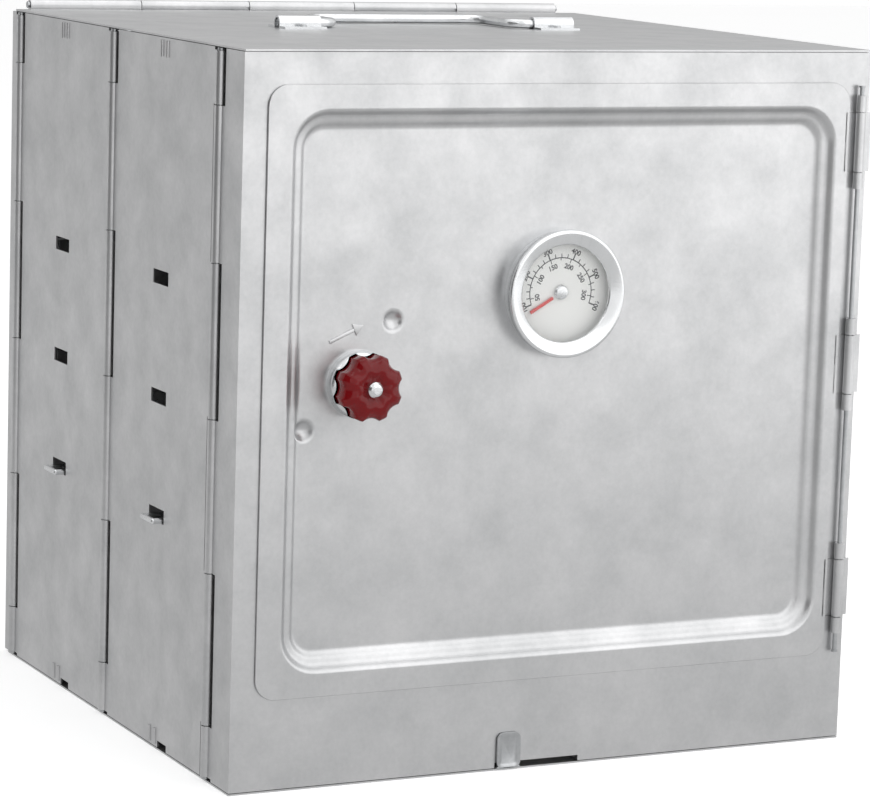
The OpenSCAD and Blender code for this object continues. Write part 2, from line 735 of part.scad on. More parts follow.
// Wire rack: it leans in the back when the oven is folded, and tips forward on to the four clips for use
module rack() {
    cx = rack_w / 2 - rack_corner;
    color(wire) translate([0, y_rack, z_rack]) rotate([-rack_lean, 0, 0]) {
        for (z = [0, rack_l]) translate([-cx, 0, z])
            rotate([0, 90, 0]) cylinder(r = rack_r, h = 2 * cx);
        for (s = [-1, 1]) {
            translate([s * rack_w / 2, 0, rack_corner]) cylinder(r = rack_r, h = rack_l - 2 * rack_corner);
            for (q = [0, 1])
                translate([s * cx, 0, q * rack_l + (1 - 2 * q) * rack_corner])
                    rotate([90, 0, 0]) rotate(s > 0 ? (q == 0 ? 270 : 0) : (q == 0 ? 180 : 90))
                        rotate_extrude(angle = 90) translate([rack_corner, 0]) circle(r = rack_r);
        }
        for (i = [0 : grid_n - 1])
            translate([-cx + 2 * cx * (i + 0.5) / grid_n, rack_r + grid_r - 0.4, -rack_r / 2])
                cylinder(r = grid_r, h = rack_l + rack_r, $fn = 24);
        translate([-rack_w / 2, 0, rack_l / 2]) rotate([0, 90, 0]) cylinder(r = rack_r - 0.4, h = rack_w);
    }
}

// Two sheet hooks on the back panel hold the rack's rear wire
module rack_hooks() {
    reach = rack_r + rack_seat;
    y_plate = y_back - sheet - hook_t;
    color(bright) for (s = [-1, 1]) translate([s * hook_x - hook_w / 2, 0, 0]) {
        translate([0, y_plate, z_rack - reach - hook_t]) cube([hook_w, hook_t, hook_h]);
        translate([0, y_rack - reach - hook_t, z_rack - reach - hook_t])
            cube([hook_w, y_plate - y_rack + reach + 2 * hook_t - eps, hook_t]);
        translate([0, y_rack - reach - hook_t, z_rack - reach - hook_t])
            cube([hook_w, hook_t, reach + hook_t + hook_lip]);
    }
}

// Wire clip through a lowest slot: a loop outside, two short arms inside that carry the rack
module wire_clip(side, y) {
    color(bright) translate([side * x_side, y, clip_z]) mirror([side > 0 ? 1 : 0, 0, 0]) {
        for (s = [-1, 1]) translate([0, s * clip_w / 2, 0]) {
            translate([-clip_out, 0, 0]) rotate([0, 90, 0]) cylinder(r = clip_r, h = clip_in + clip_out - clip_r);
            translate([-clip_out, 0, 0]) sphere(r = clip_r);
            translate([clip_in - clip_r, 0, 0]) sphere(r = clip_r);
            translate([clip_in - clip_r, 0, -clip_leg]) cylinder(r = clip_r, h = clip_leg);
        }
        translate([-clip_out, -clip_w / 2, 0]) rotate([-90, 0, 0]) cylinder(r = clip_r, h = clip_w);
    }
}

module rear_left_clip() wire_clip(-1, y_mid_hinge + leaf_w / 2);
module rear_right_clip() wire_clip(1, y_mid_hinge + leaf_w / 2);
module front_left_clip() wire_clip(-1, y_front_hinge + leaf_w / 2);
module front_right_clip() wire_clip(1, y_front_hinge + leaf_w / 2);

// Carrying handle: a wire bail that lies back on the top panel, its ends held by two saddles
module handle_bail() {
    x_arm = handle_w / 2 - saddle_l / 2 - handle_bend - 1;
    x_end = handle_w / 2 + saddle_l / 2 - 2;
    color(wire) translate([0, y_handle, z_handle]) {
        for (s = [-1, 1]) {
            translate([s > 0 ? x_arm + handle_bend : -x_end, 0, 0])
                rotate([0, 90, 0]) cylinder(r = handle_r, h = x_end - x_arm - handle_bend);
            translate([s * (x_arm + handle_bend), handle_bend, 0]) rotate(s > 0 ? 180 : 270)
                rotate_extrude(angle = 90) translate([handle_bend, 0]) circle(r = handle_r);
            translate([s * x_arm, handle_bend, 0])
                rotate([-90, 0, 0]) cylinder(r = handle_r, h = handle_l - 2 * handle_bend);
            translate([s * (x_arm - handle_bend), handle_l - handle_bend, 0]) rotate(s > 0 ? 0 : 90)
                rotate_extrude(angle = 90) translate([handle_bend, 0]) circle(r = handle_r);
        }
        translate([-x_arm + handle_bend, handle_l, 0])
            rotate([0, 90, 0]) cylinder(r = handle_r, h = 2 * (x_arm - handle_bend));
    }
}

module handle_saddles() {
    r_in = handle_r + saddle_gap;
    r_out = r_in + saddle_t;
    color(bright) for (s = [-1, 1])
        translate([s * handle_w / 2 - saddle_l / 2, y_handle, oven_h]) rotate([90, 0, 90])
            linear_extrude(height = saddle_l) difference() {
                union() {
                    translate([0, r_in]) circle(r = r_out);
                    translate([-r_out, 0]) square([2 * r_out, r_in]);
                    translate([-r_out - saddle_foot, 0]) square([2 * (r_out + saddle_foot), saddle_t]);
                }
                translate([0, r_in]) circle(r = r_in);
                translate([-r_in, -1]) square([2 * r_in, r_in + 1]);
                translate([-20, -10]) square([40, 10]);
            }
}

module handle_rivets() {
    r_out = handle_r + saddle_gap + saddle_t;
    color(wire) for (s = [-1, 1], t = [-1, 1])
        translate([s * handle_w / 2, y_handle + t * (r_out + saddle_foot / 2), oven_h + saddle_t])
            cylinder(r1 = rivet_r, r2 = rivet_r - 0.5, h = rivet_h);
}

back_panel();
rear_left_leaf();
rear_right_leaf();
front_left_leaf();
front_right_leaf();
front_frame();
top_panel();
bottom_panel();
door_panel();
back_left_pin();
back_right_pin();
mid_left_pin();
mid_right_pin();
front_left_pin();
front_right_pin();
door_pin();
top_pin();
bottom_pin();
rack();
rack_hooks();
rear_left_clip();
rear_right_clip();
front_left_clip();
front_right_clip();
latch_knob();
knob_skirt();
latch_shaft();
latch_finger();
latch_washer();
gauge_bezel();
gauge_lens();
gauge_dial();
gauge_needle();
gauge_cup();
gauge_coil();
gauge_retainer();
handle_bail();
handle_saddles();
handle_rivets();
bottom_clip();
clip_rivet();
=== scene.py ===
import math

import bpy
from mathutils import Matrix, Vector


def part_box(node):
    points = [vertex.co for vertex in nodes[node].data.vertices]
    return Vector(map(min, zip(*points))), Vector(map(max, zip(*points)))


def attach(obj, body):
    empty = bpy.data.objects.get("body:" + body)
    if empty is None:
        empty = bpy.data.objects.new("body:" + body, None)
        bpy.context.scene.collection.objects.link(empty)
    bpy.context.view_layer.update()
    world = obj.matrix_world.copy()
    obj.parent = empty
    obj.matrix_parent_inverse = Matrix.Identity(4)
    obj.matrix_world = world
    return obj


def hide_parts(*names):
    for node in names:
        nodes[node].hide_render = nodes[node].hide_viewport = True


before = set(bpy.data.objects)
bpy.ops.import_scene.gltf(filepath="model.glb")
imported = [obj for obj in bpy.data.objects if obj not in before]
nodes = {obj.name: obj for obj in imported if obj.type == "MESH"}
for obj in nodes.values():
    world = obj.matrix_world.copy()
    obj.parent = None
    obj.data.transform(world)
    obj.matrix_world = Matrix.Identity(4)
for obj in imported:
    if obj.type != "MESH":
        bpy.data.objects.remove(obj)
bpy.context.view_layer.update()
bpy.ops.object.select_all(action="DESELECT")

# Camera: a long lens that looks down a little at the front left corner of the oven,
# as in the photograph. The turn, tilt and roll were solved from the box's corners.
MM = 0.001
door_roll_r, door_hinge_out = 2.2 * MM, 2.5 * MM
front_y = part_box("front_frame")[0].y + door_roll_r + door_hinge_out
turn, tilt, roll = 0.45770, 0.15810, 0.03170
lens_mm, sensor_mm = 147.8, 36
look = Vector((math.sin(turn) * math.cos(tilt), math.cos(turn) * math.cos(tilt), -math.sin(tilt)))
level = Vector((math.cos(turn), -math.sin(turn), 0))
upward = level.cross(look)
right = level * math.cos(roll) + upward * math.sin(roll)
up = upward * math.cos(roll) - level * math.sin(roll)
bpy.ops.object.camera_add()
camera = bpy.context.object
camera.data.lens = lens_mm
camera.data.sensor_width = sensor_mm
camera.data.clip_end = 50
place = Matrix((right, up, -look)).transposed().to_4x4()
from_front_face = Vector((-701.1, -1305.9, 392.7)) * MM
place.translation = from_front_face + Vector((0, front_y, 0))
camera.matrix_world = place
bpy.context.scene.camera = camera
bpy.context.scene.view_settings.view_transform = "Standard"

# Studio: a white floor that meets a white surround. A broad soft lamp stands over the right
# shoulder with weaker ones to the left and above, and grey cards that the camera doesn't see
# give the satin steel something darker to mirror.
seen_white, floor_glow, diffuse_level = 1.0, 0.42, 0.62
card_grey = 0.66
back_grey = 0.5
flag_grey = 0.1
key_watts = 27
world = bpy.data.worlds.new("white_surround")
bpy.context.scene.world = world
world.use_nodes = True
wn, wl = world.node_tree.nodes, world.node_tree.links
wn.clear()
w_out = wn.new("ShaderNodeOutputWorld")
w_mix = wn.new("ShaderNodeMixShader")
w_seen = wn.new("ShaderNodeBackground")
w_lit = wn.new("ShaderNodeBackground")
w_seen.inputs["Color"].default_value = (1, 1, 1, 1)
w_seen.inputs["Strength"].default_value = seen_white
w_lit.inputs["Strength"].default_value = diffuse_level
w_dir = wn.new("ShaderNodeTexCoord")
w_dot = wn.new("ShaderNodeVectorMath")
w_dot.operation = "DOT_PRODUCT"
w_dot.inputs[1].default_value = (0.52, -0.42, 0.74)
w_ramp = wn.new("ShaderNodeValToRGB")
w_ramp.color_ramp.elements[0].position = 0.18
w_ramp.color_ramp.elements[0].color = (0.34, 0.35, 0.36, 1)
w_ramp.color_ramp.elements[1].position = 0.82
w_ramp.color_ramp.elements[1].color = (1.0, 1.0, 1.0, 1)
w_half = wn.new("ShaderNodeMath")
w_half.operation = "MULTIPLY_ADD"
w_half.inputs[1].default_value = 0.5
w_half.inputs[2].default_value = 0.5
wl.new(w_dir.outputs["Generated"], w_dot.inputs[0])
wl.new(w_dot.outputs["Value"], w_half.inputs[0])
wl.new(w_half.outputs[0], w_ramp.inputs["Fac"])
wl.new(w_ramp.outputs["Color"], w_lit.inputs["Color"])


def seen_rays(tree):
    """1 for the rays by which the camera, metal and glass see the background, else 0."""
    path = tree.nodes.new("ShaderNodeLightPath")
    total = path.outputs["Is Camera Ray"]
    for ray in ("Is Glossy Ray", "Is Transmission Ray"):
        either = tree.nodes.new("ShaderNodeMath")
        either.operation = "MAXIMUM"
        tree.links.new(total, either.inputs[0])
        tree.links.new(path.outputs[ray], either.inputs[1])
        total = either.outputs[0]
    return total


wl.new(seen_rays(world.node_tree), w_mix.inputs["Fac"])
wl.new(w_lit.outputs[0], w_mix.inputs[1])
wl.new(w_seen.outputs[0], w_mix.inputs[2])
wl.new(w_mix.outputs[0], w_out.inputs["Surface"])

bpy.ops.mesh.primitive_plane_add(size=12, location=(0, 0, 0))
floor = bpy.context.object
floor.name = "studio_floor"
floor_mat = bpy.data.materials.new("studio_white")
floor_mat.use_nodes = True
fn, fl = floor_mat.node_tree.nodes, floor_mat.node_tree.links
f_bsdf = fn["Principled BSDF"]
f_bsdf.inputs["Base Color"].default_value = (0.9, 0.9, 0.9, 1)
f_bsdf.inputs["Roughness"].default_value = 0.7
f_add = fn.new("ShaderNodeAddShader")
f_glow = fn.new("ShaderNodeEmission")
f_gain = fn.new("ShaderNodeMath")
f_gain.operation = "MULTIPLY"
f_gain.inputs[1].default_value = floor_glow
fl.new(seen_rays(floor_mat.node_tree), f_gain.inputs[0])
fl.new(f_gain.outputs[0], f_glow.inputs["Strength"])
fl.new(f_bsdf.outputs[0], f_add.inputs[0])
fl.new(f_glow.outputs[0], f_add.inputs[1])
fl.new(f_add.outputs[0], fn["Material Output"].inputs["Surface"])
floor.data.materials.append(floor_mat)

for card_name, grey, spot, turned_by, wide, high in (
        ("card_on_floor", card_grey, (-0.5, -0.2, 0.0002), (0, 0, 0), 2.1, 2.2),
        ("card_behind", card_grey, (-0.8, 1.0, 0.6), (math.pi / 2, 0, 0), 1.3, 1.2),
        ("card_behind_right", back_grey, (0.6, 1.0, 0.5), (math.pi / 2, 0, 0), 1.5, 1.0),
        ("flag_left", flag_grey, (-1.1, -0.35, 0.5), (math.pi / 2, 0, math.pi / 2), 1.5, 1.0)):
    bpy.ops.mesh.primitive_plane_add(size=1, location=spot, rotation=turned_by)
    card = bpy.context.object
    card.name = card_name
    card.scale = (wide, high, 1)
    card_mat = bpy.data.materials.new(card_name)
    card_mat.use_nodes = True
    card_bsdf = card_mat.node_tree.nodes["Principled BSDF"]
    card_bsdf.inputs["Base Color"].default_value = (0, 0, 0, 1)
    card_bsdf.inputs["Specular IOR Level"].default_value = 0
    card_bsdf.inputs["Emission Color"].default_value = (grey, grey, grey, 1)
    card_bsdf.inputs["Emission Strength"].default_value = 1
    card.data.materials.append(card_mat)
    card.visible_camera = False
    card.visible_diffuse = False
    card.visible_transmission = False
    card.visible_shadow = False

for lamp_name, spot, size, watts in (
        ("key_softbox", (1.1, -1.7, 1.5), 3.6, key_watts),
        ("fill_softbox", (-1.9, -0.9, 0.9), 1.6, 10),
        ("top_softbox", (0.1, 0.3, 2.2), 1.6, 8)):
    bpy.ops.object.light_add(type="AREA", location=spot)
    lamp = bpy.context.object
    lamp.name = lamp_name
    lamp.data.energy = watts
    lamp.data.size = size
    aim = Vector((0, 0, 0.15)) - Vector(spot)
    lamp.rotation_euler = aim.to_track_quat("-Z", "Y").to_euler()

# Folding walls, front frame and panels: cold rolled sheet about 0.8 mm thick with a hot
# dipped aluminium coat. The coat is a cloudy satin grey with a fine mottle and faint rolling
# lines, and the edges are rolled round wires to make the hinges.
sheet_tone = 0.58
clouding = bpy.data.node_groups.new("mill_clouding", "ShaderNodeTree")
for io_name, io_dir in (("Patch Size", "INPUT"), ("Contrast", "INPUT"), ("Grain", "INPUT"),
                        ("Line Depth", "INPUT"), ("Cloud", "OUTPUT"), ("Height", "OUTPUT")):
    clouding.interface.new_socket(io_name, in_out=io_dir, socket_type="NodeSocketFloat")
cn, cl = clouding.nodes, clouding.links
c_in = cn.new("NodeGroupInput")
c_out = cn.new("NodeGroupOutput")
c_pos = cn.new("ShaderNodeTexCoord")
c_big = cn.new("ShaderNodeTexNoise")
c_big.inputs["Detail"].default_value = 6
c_big.inputs["Roughness"].default_value = 0.6
c_big.inputs["Distortion"].default_value = 0.15
c_fine = cn.new("ShaderNodeTexNoise")
c_fine.inputs["Scale"].default_value = 480
c_fine.inputs["Detail"].default_value = 4
c_fine.inputs["Roughness"].default_value = 0.7
c_stretch = cn.new("ShaderNodeMapping")
c_stretch.inputs["Scale"].default_value = (1, 1, 26)
c_lines = cn.new("ShaderNodeTexNoise")
c_lines.inputs["Scale"].default_value = 30
c_lines.inputs["Detail"].default_value = 6
c_lines.inputs["Roughness"].default_value = 0.75
cl.new(c_pos.outputs["Object"], c_big.inputs["Vector"])
cl.new(c_pos.outputs["Object"], c_fine.inputs["Vector"])
cl.new(c_pos.outputs["Object"], c_stretch.inputs["Vector"])
cl.new(c_stretch.outputs[0], c_lines.inputs["Vector"])
cl.new(c_in.outputs["Patch Size"], c_big.inputs["Scale"])
c_sum = None
for c_noise, c_amount in ((c_big, "Contrast"), (c_fine, "Grain")):
    c_mid = cn.new("ShaderNodeMath")
    c_mid.operation = "SUBTRACT"
    c_mid.inputs[1].default_value = 0.5
    c_gain = cn.new("ShaderNodeMath")
    c_gain.operation = "MULTIPLY_ADD"
    c_gain.inputs[2].default_value = 0.5
    cl.new(c_noise.outputs["Fac"], c_mid.inputs[0])
    cl.new(c_mid.outputs[0], c_gain.inputs[0])
    cl.new(c_in.outputs[c_amount], c_gain.inputs[1])
    if c_sum:
        cl.new(c_sum, c_gain.inputs[2])
    c_sum = c_gain.outputs[0]
c_height = cn.new("ShaderNodeMath")
c_height.operation = "MULTIPLY"
c_relief = cn.new("ShaderNodeMath")
c_relief.operation = "MULTIPLY_ADD"
c_relief.inputs[1].default_value = 0.35
cl.new(c_lines.outputs["Fac"], c_height.inputs[0])
cl.new(c_in.outputs["Line Depth"], c_height.inputs[1])
cl.new(c_fine.outputs["Fac"], c_relief.inputs[0])
cl.new(c_height.outputs[0], c_relief.inputs[2])
cl.new(c_sum, c_out.inputs["Cloud"])
cl.new(c_relief.outputs[0], c_out.inputs["Height"])


def clouded(name, dark, light, rough_low, rough_high, metallic=1.0, patch=42.0, contrast=1.3,
            grain=0.5, bump=0.04):
    """A finish whose colour and gloss drift a little over the surface."""
    mat = bpy.data.materials.new(name)
    mat.use_nodes = True
    n, l = mat.node_tree.nodes, mat.node_tree.links
    bsdf = n["Principled BSDF"]
    bsdf.inputs["Metallic"].default_value = metallic
    cloud = n.new("ShaderNodeGroup")
    cloud.node_tree = clouding
    cloud.inputs["Patch Size"].default_value = patch
    cloud.inputs["Contrast"].default_value = contrast
    cloud.inputs["Grain"].default_value = grain
    cloud.inputs["Line Depth"].default_value = 0.8
    tone = n.new("ShaderNodeValToRGB")
    tone.color_ramp.elements[0].position = 0.15
    tone.color_ramp.elements[0].color = (*dark, 1)
    tone.color_ramp.elements[1].position = 0.85
    tone.color_ramp.elements[1].color = (*light, 1)
    gloss = n.new("ShaderNodeMapRange")
    gloss.inputs["To Min"].default_value = rough_high
    gloss.inputs["To Max"].default_value = rough_low
    relief = n.new("ShaderNodeBump")
    relief.inputs["Strength"].default_value = bump
    relief.inputs["Distance"].default_value = 0.0006
    l.new(cloud.outputs["Cloud"], tone.inputs["Fac"])
    l.new(cloud.outputs["Cloud"], gloss.inputs["Value"])
    l.new(cloud.outputs["Height"], relief.inputs["Height"])
    l.new(tone.outputs["Color"], bsdf.inputs["Base Color"])
    l.new(gloss.outputs[0], bsdf.inputs["Roughness"])
    l.new(relief.outputs["Normal"], bsdf.inputs["Normal"])
    return mat


def dress(mat, *names):
    """Gives CAD nodes their finish."""
    for name in names:
        nodes[name].data.materials.clear()
        nodes[name].data.materials.append(mat)


aluminised = clouded("aluminised_sheet", [sheet_tone * c for c in (0.85, 0.86, 0.87)],
                     [sheet_tone * c for c in (1.12, 1.12, 1.13)], 0.31, 0.44)
dress(aluminised, "back_panel", "rear_left_leaf", "rear_right_leaf", "front_left_leaf",
      "front_right_leaf", "front_frame", "top_panel", "bottom_panel")

# Hinge wires: hard drawn wire with upset ends, greyer than the sheet round it. The rack is
# welded from plated wire, and the small formed parts are zinc plated.
drawn_wire = clouded("drawn_wire", (0.36, 0.37, 0.38), (0.55, 0.56, 0.57), 0.28, 0.42, patch=60)
zinc = clouded("zinc_plate", (0.60, 0.61, 0.62), (0.80, 0.81, 0.82), 0.20, 0.32, patch=60)
rack_plate = clouded("rack_plating", (0.60, 0.61, 0.63), (0.78, 0.79, 0.80), 0.12, 0.2, patch=50)
dress(drawn_wire, "back_left_pin", "back_right_pin", "mid_left_pin", "mid_right_pin",
      "front_left_pin", "front_right_pin", "door_pin", "top_pin", "bottom_pin",
      "latch_washer", "gauge_retainer", "clip_rivet", "handle_rivets")
dress(zinc, "rack_hooks", "rear_left_clip", "rear_right_clip", "front_left_clip",
      "front_right_clip", "latch_shaft", "latch_finger", "gauge_cup", "handle_saddles",
      "handle_bail")
dress(rack_plate, "rack")

# Door: one sheet pressed into a shallow tray with a round-cornered step all round. Its right
# edge has three tabs rolled round the hinge wire, and two round dents are punched beside the
# latch, with a raised arrow that shows which way the knob turns.
door_left, door_right, door_bottom, door_top = -136, 136.5, 39, 291
tray_left, tray_right, tray_bottom, tray_top = -126, 131, 48.5, 281.5
sheet_mm = 0.8
door_y = front_y - 1.1 * MM
floor_y = door_y + 5.5 * MM
latch_x, latch_z = -91 * MM, 168 * MM
dent_offsets = ((15, 25.5), (-24, -18.5))
shaft_hole_r, cup_hole_r, dent_hole_r = 2.7, 23.2, 5
tab_heights, tab_l, roll_turn = (69, 168.5, 265.5), 25.5, math.radians(310)
gauge_x, gauge_z = 0.5 * MM, 203.5 * MM


def only(piece):
    """Selects this piece alone."""
    bpy.ops.object.select_all(action="DESELECT")
    piece.select_set(True)
    bpy.context.view_layer.objects.active = piece


def settle(piece, name, size=None):
    """Names a new primitive, sizes it, and puts its place into its mesh."""
    piece.name = piece.data.name = name
    if size:
        piece.scale = size
    only(piece)
    bpy.ops.object.transform_apply(location=True, rotation=True, scale=True)
    return piece


def finish_with(piece, kind, **settings):
    """Adds a modifier with these settings and applies it."""
    only(piece)
    mod = piece.modifiers.new(kind.lower(), kind)
    for key, value in settings.items():
        setattr(mod, key, value)
    bpy.ops.object.modifier_apply(modifier=mod.name)


def weld(piece, *parts):
    """Joins the parts of one piece into its mesh."""
    only(piece)
    for part in parts:
        part.select_set(True)
    bpy.ops.object.join()


def fit(piece, body, mat, slot_name, *stands_for, angle=35):
    """Shades a finished piece, gives it its material and fixes it to a body of the frame."""
    only(piece)
    bpy.ops.object.shade_smooth_by_angle(angle=math.radians(angle))
    piece.data.materials.clear()
    piece.data.materials.append(mat)
    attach(piece, body)
    if stands_for:
        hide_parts(*stands_for)


def plate(name, left, right, bottom, top, radius, y, steps=10):
    """A flat round-cornered sheet that faces the front, as one face. Sizes in millimetres."""
    bpy.ops.object.select_all(action="DESELECT")
    bpy.ops.mesh.primitive_plane_add(
        size=MM, rotation=(math.pi / 2, 0, 0),
        location=((left + right) / 2 * MM, y, (bottom + top) / 2 * MM))
    piece = settle(bpy.context.object, name, (right - left, top - bottom, 1))
    bpy.ops.object.mode_set(mode="EDIT")
    bpy.ops.mesh.select_mode(type="VERT")
    bpy.ops.mesh.select_all(action="SELECT")
    bpy.ops.mesh.bevel(offset=radius * MM, segments=steps, affect="VERTICES",
                       clamp_overlap=False)
    bpy.ops.object.mode_set(mode="OBJECT")
    return piece


def press(piece, steps):
    """Presses a face back step by step: each step is (inset, depth) in millimetres."""
    only(piece)
    bpy.ops.object.mode_set(mode="EDIT")
    bpy.ops.mesh.select_mode(type="FACE")
    bpy.ops.mesh.select_all(action="SELECT")
    for inset, depth in steps:
        bpy.ops.mesh.inset(thickness=inset * MM, depth=0)
        bpy.ops.transform.translate(value=(0, depth * MM, 0))
    bpy.ops.object.mode_set(mode="OBJECT")


def turned(name, profile, x, z, y, steps=96):
    """A piece turned about an axis along Y. Its profile is (radius, distance in front of y)."""
    bpy.ops.object.select_all(action="DESELECT")
    bpy.ops.mesh.primitive_plane_add(
        size=0.1 * MM, location=(x + profile[0][0] * MM, y - profile[0][1] * MM, z))
    piece = settle(bpy.context.object, name)
    bpy.ops.object.mode_set(mode="EDIT")
    bpy.ops.mesh.select_mode(type="VERT")
    bpy.ops.mesh.select_all(action="SELECT")
    bpy.ops.mesh.merge(type="CENTER")
    for (r0, d0), (r1, d1) in zip(profile, profile[1:]):
        bpy.ops.mesh.extrude_region_move(
            TRANSFORM_OT_translate={"value": ((r1 - r0) * MM, (d0 - d1) * MM, 0)})
    bpy.ops.mesh.select_all(action="SELECT")
    bpy.ops.mesh.spin(steps=steps, angle=math.tau, center=(x, y, z), axis=(0, 1, 0))
    bpy.ops.mesh.select_all(action="SELECT")
    bpy.ops.mesh.remove_doubles(threshold=0.002 * MM)
    bpy.ops.mesh.normals_make_consistent(inside=False)
    bpy.ops.object.mode_set(mode="OBJECT")
    return piece


def facing(x, z, y, angle):
    """Place of a flat mark that faces the front, its upper side towards the angle from +X."""
    return (Matrix.Translation((x, y, z)) @ Matrix.Rotation(math.pi / 2 - angle, 4, "Y")
            @ Matrix.Rotation(math.pi / 2, 4, "X"))


door = plate("door_pressing", door_left, door_right, door_bottom, door_top, 9, door_y)
bpy.ops.object.mode_set(mode="EDIT")
bpy.ops.mesh.select_all(action="SELECT")
bpy.ops.mesh.delete(type="ONLY_FACE")
bpy.ops.object.mode_set(mode="OBJECT")
tray = plate("door_tray", tray_left, tray_right, tray_bottom, tray_top, 17, door_y)
press(tray, ((0.3, 0), (0.6, 0.15), (0.6, 0.45), (0.7, 0.9), (0.7, 1.0), (0.7, 0.55),
             (0.8, 0.25), (1.0, 0.15), (0.8, 0.3), (0.7, 0.6), (0.6, 0.6), (0.6, 0.35),
             (0.6, 0.15), (0.7, 0.05), (0.5, 0)))
weld(door, tray)
bpy.ops.object.mode_set(mode="EDIT")
bpy.ops.mesh.select_mode(type="EDGE")
bpy.ops.mesh.select_all(action="DESELECT")
bpy.ops.mesh.select_non_manifold(extend=False, use_wire=True, use_boundary=True,
                                 use_multi_face=False, use_non_contiguous=False,
                                 use_verts=False)
bpy.ops.mesh.bridge_edge_loops()
bpy.ops.object.mode_set(mode="OBJECT")
if sum(face.normal.y * face.area for face in door.data.polygons) > 0:
    bpy.ops.object.mode_set(mode="EDIT")
    bpy.ops.mesh.select_all(action="SELECT")
    bpy.ops.mesh.flip_normals()
    bpy.ops.object.mode_set(mode="OBJECT")
finish_with(door, "SOLIDIFY", thickness=sheet_mm * MM, offset=-1, use_even_offset=True)
finish_with(door, "BEVEL", width=0.2 * MM, segments=1, limit_method="ANGLE",
            angle_limit=math.radians(70))
dents = [(latch_x + across * MM, latch_z + above * MM) for across, above in dent_offsets]
punches = []
for hole_x, hole_z, hole_r in ((latch_x, latch_z, shaft_hole_r), (gauge_x, gauge_z, cup_hole_r),
                               *((*dent, dent_hole_r) for dent in dents)):
    bpy.ops.mesh.primitive_cylinder_add(vertices=64, radius=hole_r * MM, depth=6 * MM,
                                        location=(hole_x, floor_y + sheet_mm / 2 * MM, hole_z),
                                        rotation=(math.pi / 2, 0, 0))
    punches.append(settle(bpy.context.object, "door_punch"))
weld(*punches)
finish_with(door, "BOOLEAN", operation="DIFFERENCE", solver="EXACT", object=punches[0])
bpy.data.objects.remove(punches[0], do_unlink=True)
punch_r, punch_out = 5, 2.6
back_r = punch_r + sheet_mm
dished = [(r, punch_out - math.sqrt(punch_r ** 2 - r * r))
          for r in (0, 0.6, 1.2, 1.8, 2.4, 3.0, 3.5)]
dished += [(3.95, -0.45), (4.4, -0.13), (4.9, 0.0), (5.4, 0.03), (5.4, -0.77), (4.9, -0.77)]
dished += [(r, punch_out - math.sqrt(back_r ** 2 - r * r)) for r in (4.4, 3.6, 2.7, 1.8, 0.9, 0)]
rolls = [turned("door_dent", dished, dent_x, dent_z, floor_y, 48) for dent_x, dent_z in dents]
hinge_x, hinge_y = 141.3 * MM, front_y - door_hinge_out
tab_y = hinge_y + door_roll_r - sheet_mm / 2 * MM
for tab_z in tab_heights:
    bpy.ops.mesh.primitive_plane_add(
        size=MM, rotation=(math.pi / 2, 0, 0),
        location=((door_right * MM - MM + hinge_x) / 2, tab_y, tab_z * MM))
    roll = settle(bpy.context.object, "door_tab", ((hinge_x - door_right * MM) / MM + 1, tab_l, 1))
    for vert in roll.data.vertices:
        vert.select = vert.co.x > hinge_x - 0.01 * MM
    for edge in roll.data.edges:
        edge.select = all(roll.data.vertices[v].select for v in edge.vertices)
    for face in roll.data.polygons:
        face.select = False
    bpy.ops.object.mode_set(mode="EDIT")
    bpy.ops.mesh.select_mode(type="EDGE")
    bpy.ops.mesh.spin(steps=22, angle=roll_turn, center=(hinge_x, hinge_y, tab_z * MM),
                      axis=(0, 0, -1))
    bpy.ops.mesh.select_all(action="SELECT")
    bpy.ops.mesh.remove_doubles(threshold=0.002 * MM)
    bpy.ops.object.mode_set(mode="OBJECT")
    finish_with(roll, "SOLIDIFY", thickness=sheet_mm * MM, offset=0, use_even_offset=True)
    rolls.append(roll)
arrow_turn, arrow_x, arrow_z = math.radians(24), -99 * MM, 188 * MM
arrow_y, arrow_h, head_along = floor_y - 0.1 * MM, 0.9, 7.5 * MM
bpy.ops.mesh.primitive_cube_add(size=MM)
arrow = bpy.context.object
arrow.matrix_world = facing(arrow_x, arrow_z, arrow_y, arrow_turn)
rolls.append(settle(arrow, "arrow_shaft", (1.5, 12, arrow_h)))
bpy.ops.mesh.primitive_cylinder_add(vertices=3, radius=3.2 * MM, depth=arrow_h * MM)
arrow = bpy.context.object
arrow.matrix_world = facing(arrow_x + head_along * math.cos(arrow_turn),
                            arrow_z + head_along * math.sin(arrow_turn), arrow_y, arrow_turn)
rolls.append(settle(arrow, "arrow_head"))
for part in rolls[-2:]:
    finish_with(part, "BEVEL", width=0.3 * MM, segments=3)
weld(door, *rolls)
fit(door, "door", aluminised, "sheet", "door_panel")

